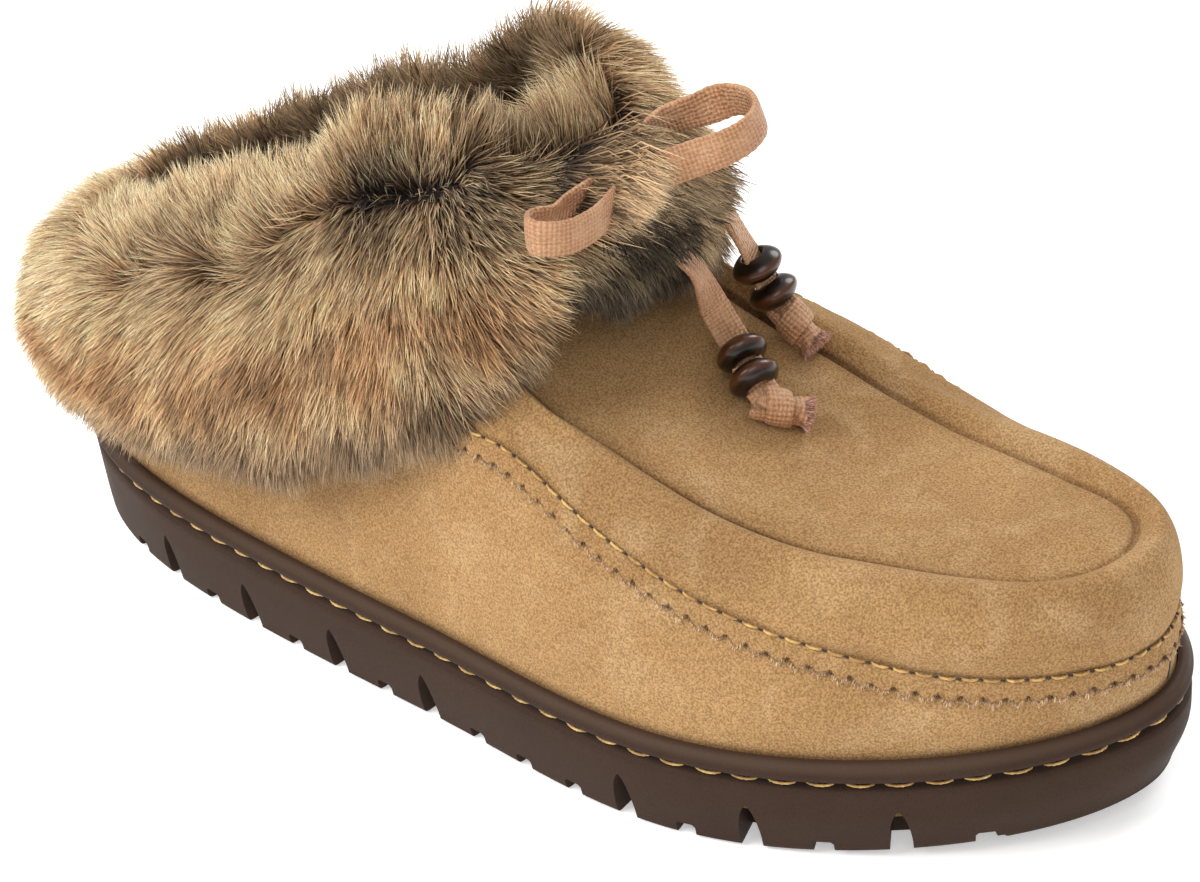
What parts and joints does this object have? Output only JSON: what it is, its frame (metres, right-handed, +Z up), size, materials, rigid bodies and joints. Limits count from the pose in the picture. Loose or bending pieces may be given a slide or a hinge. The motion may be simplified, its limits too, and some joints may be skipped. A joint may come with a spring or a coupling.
{
  "type": "fur-lined slip-on shoe",
  "caption": "Right moccasin slipper with a deep fur cuff, suede upper with a flat apron, beaded lace bow and a notched rubber cup sole; the foot slips in at the cuff.",
  "frame": {"origin": "on the ground, under the middle of the shoe's box without its lace", "axes": "+X from the heel to the toe, +Y to the inner side of the foot, +Z up"},
  "size_m": [0.2774, 0.1066, 0.1329],
  "materials": {
    "rubber": "dark brown matt rubber with a fine leather-like grain, a little shinier along the rim",
    "suede": "tan suede with a fine nap, cloudy where it is brushed",
    "fur": "deep faux fur, dark brown at the roots and beige at the tips",
    "pile": "short brown pile",
    "lace": "flat waxed braid, copper brown with a soft sheen",
    "bead": "dark brown lacquered wood"
  },
  "bodies": {
    "root": {"outsole": "rubber", "insole": "pile", "upper": "suede", "fur_collar": "fur", "bow_knot": "lace", "bow_loop_outer": "lace", "bow_loop_inner": "lace", "lace_end_outer": "lace", "end_knot_outer": "lace", "bead_outer_1": "bead", "bead_outer_2": "bead", "lace_end_inner": "lace", "end_knot_inner": "lace", "bead_inner_1": "bead", "bead_inner_2": "bead"}
  },
  "joints": []
}
